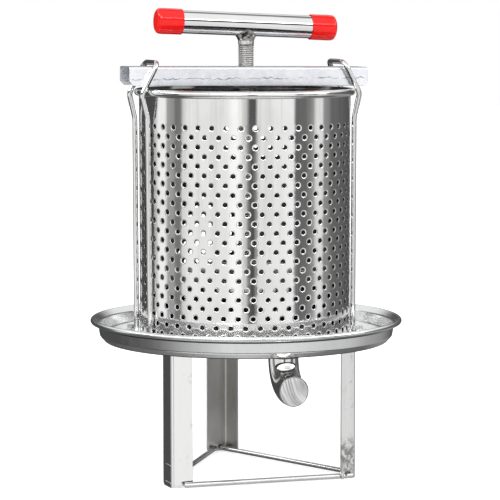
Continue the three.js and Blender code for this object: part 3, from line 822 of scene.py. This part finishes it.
def basket_floor():
    """A flat disc with three rings of holes, all drilled at once."""
    outline = collar(0, FLOOR_RADIUS, FLOOR_UNDERSIDE, FLOOR_TOP, (0, 0.4, 0.4, 0))
    disc = make_object("basket_base", *lathe(fillet(outline, steps=3), 96), satin)
    drill, drill_faces = lathe([(0, -4), (3, -4), (3, 4), (0, 4)], 20)
    verts = []
    faces = []
    for ring_radius, count in FLOOR_HOLES:
        for spot_x, spot_y, top in circle(ring_radius, FLOOR_TOP, count):
            faces += [tuple(c + len(verts) for c in face) for face in drill_faces]
            verts += [(x + spot_x, y + spot_y, z + top) for x, y, z in drill]
    cut(disc, make_object("cutter", verts, faces, plain))
    return placed(disc, Matrix.Translation((UPPER_OFFSET, 0, 0)))


stand_in_for(basket(), "polished_steel", "basket_wall")
seam = [Vector(round_wall(SEAM_ANGLE, BASKET_BOTTOM + 1 + i * 4, BASKET_RADIUS - 0.5)) for i in range(58)]
weld_run("basket_seam", seam, 0.9, 4, "polished_steel", material=rod_polish, normal=X_WAY)
stand_in_for(basket_floor(), "satin_steel", "basket_floor")

# ---- Crossbar and bush ----
BAR_HALF = 118.2
BAR_SIDE = 18.5
BAR_TOP = 393
BAR_UNDERSIDE = 375
BAR_SHEET = 2.5
BAR_CORNER_CUT = 2.9  # how far each corner's cut reaches from it, square to the cut
BAR_TILT = 0.45
BAR_HOLE_RADIUS = 8.5
NUT_BORE = 8.05
NUT_RADIUS = 12
NUT_BOTTOM = 375.5
NUT_TOP = 390.2


def crossbar():
    """An inverted channel with cut lower corners and a hole for the screw, its left end the higher."""
    inner = BAR_SIDE - BAR_SHEET
    web = BAR_TOP - BAR_SHEET
    half = [(BAR_SIDE, BAR_TOP, 2.6), (BAR_SIDE, BAR_UNDERSIDE, 0.4), (inner, BAR_UNDERSIDE, 0.4),
            (inner, web, 0.8)]
    outline = fillet(half + [(-y, z, around) for y, z, around in reversed(half)], closed=True)
    cuts = [-BAR_HALF + 2 * BAR_HALF * i / 24 for i in range(25)]
    verts, faces = extrude(outline, lambda a, b, t: Vector((t, a, b)), cuts)
    bar = make_object("crossbar_channel", verts, faces, zinc_finish())
    cutters = [cylinder(BAR_HOLE_RADIUS, 48, Matrix.Translation((-UPPER_OFFSET, 0, BAR_TOP)))]
    for side in (-1, 1):
        corner = Matrix.Translation((side * BAR_HALF, 0, BAR_UNDERSIDE))
        low = Vector((-BAR_CORNER_CUT, -30, -BAR_CORNER_CUT))
        cutters.append(block(low, -low, corner @ Matrix.Rotation(pi / 4, 4, "Y")))
    cut(bar, *cutters)
    tilt = Matrix.Rotation(radians(BAR_TILT), 4, "Y")
    placed(bar, Matrix.Translation((UPPER_OFFSET, 0, BAR_TOP)) @ tilt @ Matrix.Translation((0, 0, -BAR_TOP)))
    return soften(bar, 0.3)


stand_in_for(crossbar(), "zinc_plate", "crossbar")
bush_profile = collar(NUT_BORE, NUT_RADIUS, NUT_BOTTOM, NUT_TOP, (0.5, 0.8, 0.5, 0.5))
stand_in_for(turned("screw_bush", bush_profile, 64, zinc_small), "zinc_plate", "screw_nut")
weld_ring("bush_weld", 0, NUT_TOP - 0.6, NUT_RADIUS + 0.6, 1.1, 7, "zinc_plate")

# ---- Press plate, screw and handle ----
PLATE_BORE = 4.8
PLATE_UNDERSIDE = 185
PLATE_TOP = 188
PLATE_RADIUS = 97
PLATE_RIM_BORE = 94.4
PLATE_RIM_TOP = 195
HUB_UNDERSIDE = PLATE_TOP + GAP
HUB_RADIUS = 18
HUB_TOP = 202
THREAD_PITCH = 2.0
THREAD_TOP = 413.6
THREAD_BOTTOM = 204.1
THREAD_ROOT = 6.75
THREAD_CREST = 7.72
SPIGOT_BOTTOM = 175
SPIGOT_RADIUS = 4.5
NECK_RADIUS = 7.6
SCREW_TOP = 421.5
HANDLE_Z = 433
HANDLE_RADIUS = 11
HANDLE_BORE = 9.8
TUBE_HALF = 86.7
GRIP_MOUTH = 63.9  # from the screw's axis
HANDLE_FRAME = Matrix.Translation((0, 0, HANDLE_Z)) @ Matrix.Rotation(radians(2.3), 4, "Y")

plate = turned("pressing_plate", [
    (PLATE_BORE, PLATE_UNDERSIDE, 0.3), (PLATE_RADIUS, PLATE_UNDERSIDE, 2), (PLATE_RADIUS, PLATE_RIM_TOP, 1),
    (PLATE_RIM_BORE, PLATE_RIM_TOP, 1), (PLATE_RIM_BORE, PLATE_TOP, 2), (PLATE_BORE, PLATE_TOP, 0.3),
], 160, satin)
stand_in_for(plate, "satin_steel", "press_plate", body="plate")
hub_profile = collar(PLATE_BORE, HUB_RADIUS, HUB_UNDERSIDE, HUB_TOP, (0.3, 0.3, 1.2, 0.6))
stand_in_for(turned("hub_collar", hub_profile, 64, satin), "satin_steel", "plate_hub", body="plate")
weld_ring("hub_weld", 0, HUB_UNDERSIDE + 0.6, HUB_RADIUS + 0.5, 1.1, 11, "satin_steel", "plate")


def screw():
    """A right-hand thread on the upper rod, over a plain spigot, with a plain neck above."""
    sides = 48
    shape = [(0.0, THREAD_ROOT), (0.12, THREAD_ROOT), (0.42, THREAD_CREST), (0.58, THREAD_CREST),
             (0.88, THREAD_ROOT)]
    turns = ceil((THREAD_TOP - THREAD_BOTTOM) / THREAD_PITCH) + 1
    spigot = [(0, SPIGOT_BOTTOM), (SPIGOT_RADIUS - 0.4, SPIGOT_BOTTOM), (SPIGOT_RADIUS, SPIGOT_BOTTOM + 0.6),
              (SPIGOT_RADIUS, THREAD_BOTTOM - 0.05)]
    verts, faces = lathe(spigot, sides)
    first = len(verts)
    rows = [(turn + share, radius) for turn in range(-1, turns) for share, radius in shape]
    for pitches, radius in rows:
        for k, (x, y, _) in enumerate(circle(radius, 0, sides)):
            z = THREAD_BOTTOM + THREAD_PITCH * (pitches + k / sides)
            verts.append((x, y, max(THREAD_BOTTOM, min(THREAD_TOP, z))))
    for i in range(len(rows) - 1):
        for k in range(sides):
            after = (k + 1) % sides
            lift = len(shape) if after == 0 else 0
            low = first + i * sides
            over = low + lift * sides
            if i + lift + 1 < len(rows):
                faces.append((low + k, over + after, over + sides + after, low + sides + k))
    shoulder = [(SPIGOT_RADIUS, THREAD_BOTTOM), (7.2, THREAD_BOTTOM)]
    neck = [(6.9, THREAD_TOP), (NECK_RADIUS, THREAD_TOP + 0.4), (NECK_RADIUS, SCREW_TOP), (0.5, SCREW_TOP)]
    for profile in (shoulder, neck):
        faces += tube_faces(len(profile), sides, len(verts))
        for radius, z in profile:
            verts += circle(radius, z, sides)
    return make_object("spindle_thread", verts, faces, thread_finish_painted_root_shade(), sharp=60, turn=False)


def neck_weld():
    """The lumpy fillet weld between the screw's top and the handle tube's underside."""
    sides = 48
    levels = 12
    skin = HANDLE_RADIUS + 0.3
    verts = []
    for i in range(levels + 1):
        share = i / levels
        flare = 7.7 + 2.2 * share ** 1.6
        for x, y, _ in circle(1, 0, sides):
            point = Vector((x, y, 1.2 * share))
            lump = 0.6 * noise.noise(point * 2.3) + 0.3 * noise.noise(point * 6.1)
            reach = flare + lump * (0.3 + share)
            across = min(abs(reach * y), skin - 0.5)
            roof = HANDLE_Z - sqrt(skin ** 2 - across ** 2)
            foot = 417.6 + 0.5 * lump
            verts.append((reach * x, reach * y, foot + (roof - foot) * share))
    return make_object("neck_weld", verts, capped_faces(levels + 1, sides), neck_steel, sharp=80)


def grip(name, side):
    """A dipped cap: a soft edge at the mouth, a slight taper, and a well rounded end."""
    body = fillet([
        (11.3, 22.0, 0), (11.3, 0.4, 0.3), (11.6, 0.0, 0.3), (12.2, 0.0, 0.7), (12.3, 18.5, 4),
        (12.0, 23.4, 3.4), (8.8, 25.5, 4.5), (0, 25.6, 0),
    ], steps=7)
    cap = make_object(name + "_cap", *lathe([(0, 23.1), (10.8, 23.1)] + body, 64), red_cap)
    turn = Matrix.Rotation(side * pi / 2, 4, "Y")
    placed(cap, HANDLE_FRAME @ Matrix.Translation((side * GRIP_MOUTH, 0, 0)) @ turn)
    stand_in_for(cap, "red_plastic", name, body="spindle")


stand_in_for(screw(), "thread_steel", "screw", body="spindle")
stand_in_for(neck_weld(), "thread_steel", body="spindle")
for node_name in ("thrust_washer", "lock_washer", "lock_nut"):
    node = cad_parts[node_name]
    node.data.materials.clear()
    node.data.materials.append(zinc_small)
    add_bevel(node, 0.3)
tube_profile = collar(HANDLE_BORE, HANDLE_RADIUS, -TUBE_HALF, TUBE_HALF, [0.4] * 4)
tube = placed(turned("handle_pipe", tube_profile, 64, handle_polish), HANDLE_FRAME @ TURN_TO_X)
stand_in_for(tube, "polished_steel", "handle_tube", body="spindle")
grip("left_grip", -1)
grip("right_grip", 1)

# ---- Loops and their clips ----
PIVOT_REACH = 101.1
PIVOT_Z = 138.5
TOE_TIP = 43  # from the middle plane
LOOP_ROD_RADIUS = 2.5
LOOP_CORNERS = [
    # reach from the basket's centre, distance from the middle plane, height, and the bend's radius
    (PIVOT_REACH, 26, PIVOT_Z, 4), (102.4, 24.2, 344, 30), (107.8, 24, 367.4, 8), (92.3, 24, 397.3, 8),
]
CLIP_EAR = 37
CLIP_BASE_END = 47
CLIP_BOTTOM = 131.8
CLIP_TOP = 144
CLIP_SHEET = 2
CLIP_REACH = (97, 107)
PIVOT_HOLE_RADIUS = 2.9


def loop(name, side):
    """A bent wire from toe to toe: up one side, over the top, and down the other."""
    upright = [Vector((UPPER_OFFSET + side * reach, -y, z)) for reach, y, z, _ in LOOP_CORNERS]
    half = [Vector((UPPER_OFFSET + side * PIVOT_REACH, -TOE_TIP, PIVOT_Z))] + upright
    other = [Vector((p.x, -p.y, p.z)) for p in reversed(half)]
    bends = [corner[3] for corner in LOOP_CORNERS]
    path = bent_path(half + other, bends + bends[::-1])
    return make_object(name, *rod(path, LOOP_ROD_RADIUS, 24, X_WAY, end_round=0.6), rod_polish)


def clip(name, side, end):
    """A bent clip: an ear with the pivot hole on a base that points away from the middle plane."""
    fold = CLIP_EAR + CLIP_SHEET
    base = CLIP_BOTTOM + CLIP_SHEET
    outline = fillet([
        (CLIP_EAR, CLIP_BOTTOM, 2.2), (CLIP_BASE_END, CLIP_BOTTOM, 0.3), (CLIP_BASE_END, base, 0.3),
        (fold, base, 0.6), (fold, CLIP_TOP, 0.8), (CLIP_EAR, CLIP_TOP, 0.8),
    ], closed=True, steps=5)
    across = sorted(UPPER_OFFSET + side * reach for reach in CLIP_REACH)
    ear = make_object(name, *extrude(outline, lambda a, b, t: Vector((t, end * a, b)), across), clip_satin)
    hole = Matrix.Translation((UPPER_OFFSET + side * PIVOT_REACH, end * 38, PIVOT_Z))
    cut(ear, cylinder(PIVOT_HOLE_RADIUS, 32, hole @ Matrix.Rotation(pi / 2, 4, "X")))
    return soften(ear, 0.25)


for side_name, side in (("left", -1), ("right", 1)):
    stand_in_for(loop(side_name + "_wire_loop", side), "polished_steel", side_name + "_loop",
                 body=side_name + "_wire")
    for end_name, end in (("front", -1), ("rear", 1)):
        node_name = f"{side_name}_{end_name}_clip"
        stand_in_for(clip(node_name + "_sheet", side, end), "satin_steel", node_name)
        run = [Vector((side * reach, end * (CLIP_BASE_END + 0.3), CLIP_BOTTOM + 0.2)) for reach in (99, 105)]
        weld_run(node_name + "_weld", run, 0.9, 13, "satin_steel")

# ---- Studio ----
VIEW_AZIMUTH = radians(-17)  # the camera's bearing round the press
VIEW_DISTANCE = 2296.4  # from the centre line, level
VIEW_HEIGHT = 445.8
VIEW_AIM_HEIGHT = 216.7
VIEW_AIM_SIDE = 3.83  # the view is centred this far to the right of the centre line
LENS = 172.56
TO_CAMERA = Vector((sin(VIEW_AZIMUTH), -cos(VIEW_AZIMUTH), 0))
TO_RIGHT = Vector((cos(VIEW_AZIMUTH), sin(VIEW_AZIMUTH), 0))

# What polished steel sees round the press, level with it: bearing from the camera in degrees,
# positive to the right, and how bright it is from there on.
SURROUND = [
    (-180, 0.06), (-113, 0.08), (-109, 1), (-96, 1), (-93, 0.38), (-84, 0.38), (-80, 0.18), (-73, 0.22),
    (-70.5, 0.8), (-60, 0.95), (-20, 0.9), (-13, 1.1), (-4, 1.1), (-2.5, 0.75), (1.2, 0.8), (3.4, 0.12),
    (9.5, 0.08), (12, 0.13), (13.8, 0.88), (54, 1), (56.5, 0.13), (70, 0.17), (80, 0.35), (84, 0.85),
    (93, 0.85), (96, 0.3), (104, 0.25), (108, 0.16), (146, 0.1), (180, 0.06),
]
# What it sees below that, by the same bearings.
LOW_SURROUND = [
    (-180, 0.1), (-105, 0.06), (-75, 0.16), (-45, 0.5), (-15, 0.85), (35, 0.85), (60, 0.75), (90, 0.6),
    (110, 0.4), (180, 0.2),
]
LOW_TOP = -11  # degrees of elevation
LOW_BLEND = 4
REAR_START = 100  # degrees either way from the camera
REAR_WHOLE = 112
# The rest by elevation, ahead of the press and behind it: degrees, brightness, and how much of
# the bands above shows there instead.
FRONT_RISE = [
    (-90, 0.85, 0), (-57, 0.85, 0), (-52, 0.05, 0), (-40, 0.05, 0), (-35, 0.4, 1), (9.5, 0.5, 1),
    (11, 0.03, 0), (21, 0.03, 0), (22.5, 1, 0), (25, 1, 0), (26, 5, 0), (31, 5, 0), (32, 1.05, 0),
    (90, 1, 0),
]
REAR_RISE = [
    (-90, 0.7, 0), (-80, 0.25, 0), (-35, 0.12, 0), (-25, 0.2, 1), (14, 0.1, 1), (20, 0.5, 0.2),
    (27, 0.9, 0), (48, 0.95, 0), (53, 0.22, 0), (66, 0.22, 0), (71, 1, 0), (90, 1, 0),
]


class World(Nodes):
    """The studio's nodes, read by direction."""

    def __init__(self, tree):
        super().__init__(tree)
        self.direction = self.nodes.new("ShaderNodeTexCoord").outputs["Generated"]

    def dot(self, vector):
        return self.node("ShaderNodeVectorMath", self.direction, vector, output="Value",
                         settings={"operation": "DOT_PRODUCT"})

    def ramp(self, angle, whole, stops):
        """Colour and alpha by an angle that spans so many radians, from (degrees, level, alpha) stops."""
        made = self.nodes.new("ShaderNodeValToRGB")
        self.put(made.inputs[0], self.math("ADD", self.math("DIVIDE", angle, whole), 0.5))
        elements = made.color_ramp.elements
        elements.remove(elements[-1])
        for i, (stop, level, shown) in enumerate(stops):
            place = stop / degrees(whole) + 0.5
            element = elements[0] if i == 0 else elements.new(place)
            element.position = place
            element.color = (level, level, level, shown)
        return made.outputs


def studio_world():
    """Bands of light and dark all round, which only reflections see; the camera sees white."""
    sky = bpy.data.worlds.new("studio")
    bpy.context.scene.world = sky
    sky.use_nodes = True
    w = World(sky.node_tree)
    bearing = w.math("ARCTAN2", w.dot(TO_RIGHT), w.dot(TO_CAMERA))
    elevation = w.math("ARCSINE", w.dot(Z_WAY))
    level_band, low_band = [
        w.ramp(bearing, 2 * pi, [(*stop, 1) for stop in stops])["Color"]
        for stops in (SURROUND, LOW_SURROUND)]
    below = w.remap(elevation, radians(LOW_TOP), radians(LOW_TOP - LOW_BLEND))
    bands = w.mix(below, level_band, low_band)
    ahead, astern = [
        w.mix(rise["Alpha"], rise["Color"], bands)
        for rise in (w.ramp(elevation, pi, stops) for stops in (FRONT_RISE, REAR_RISE))]
    behind = w.node("ShaderNodeMapRange", settings={"interpolation_type": "SMOOTHSTEP"},
                    Value=w.math("ABSOLUTE", bearing),
                    From_Min=radians(REAR_START), From_Max=radians(REAR_WHOLE))
    seen = w.nodes.new("ShaderNodeLightPath").outputs["Is Camera Ray"]
    color = w.mix(seen, w.mix(behind, ahead, astern), (1.0, 1.0, 1.0))
    w.put(w.nodes["Background"].inputs["Color"], color)


def studio_floor():
    """A wide white floor that reflections don't see."""
    g = Graph("studio_floor")
    tint = g.mix(g.noise(0.8, 2, 0.5), (0.78, 0.78, 0.78), (0.8, 0.8, 0.8))
    white = g.finish(tint, 0.9, 0.0, Specular_IOR_Level=0.0,
                     Emission_Color=(1, 1, 1, 1), Emission_Strength=0.62)
    floor = make_object("floor", *lathe([(0, -0.05), (9000, -0.05)], 96), white, turn=False)
    floor.visible_glossy = False


def aimed(name, data, spot, aim):
    """A lamp or camera at a spot, both in millimetres, looking at its aim."""
    obj = new_object(name, data)
    obj.location = spot * MM
    obj.rotation_euler = (aim - spot).to_track_quat("-Z", "Y").to_euler()
    return obj


def area_light(name, spot, aim_height, size, power):
    lamp = bpy.data.lights.new(name, "AREA")
    lamp.size = size * MM
    lamp.energy = power
    aimed(name, lamp, Vector(spot), Z_WAY * aim_height)


def studio_camera():
    lens = bpy.data.cameras.new("camera")
    lens.lens = LENS
    spot = TO_CAMERA * VIEW_DISTANCE + Z_WAY * VIEW_HEIGHT
    aim = TO_RIGHT * VIEW_AIM_SIDE + Z_WAY * VIEW_AIM_HEIGHT
    bpy.context.scene.camera = aimed("camera", lens, spot, aim)


studio_world()
studio_floor()
area_light("key", (-900, -1200, 1500), 250, 700, 9)
area_light("fill", (1300, -700, 1100), 200, 900, 4)
studio_camera()
bpy.context.scene.view_settings.view_transform = "Standard"
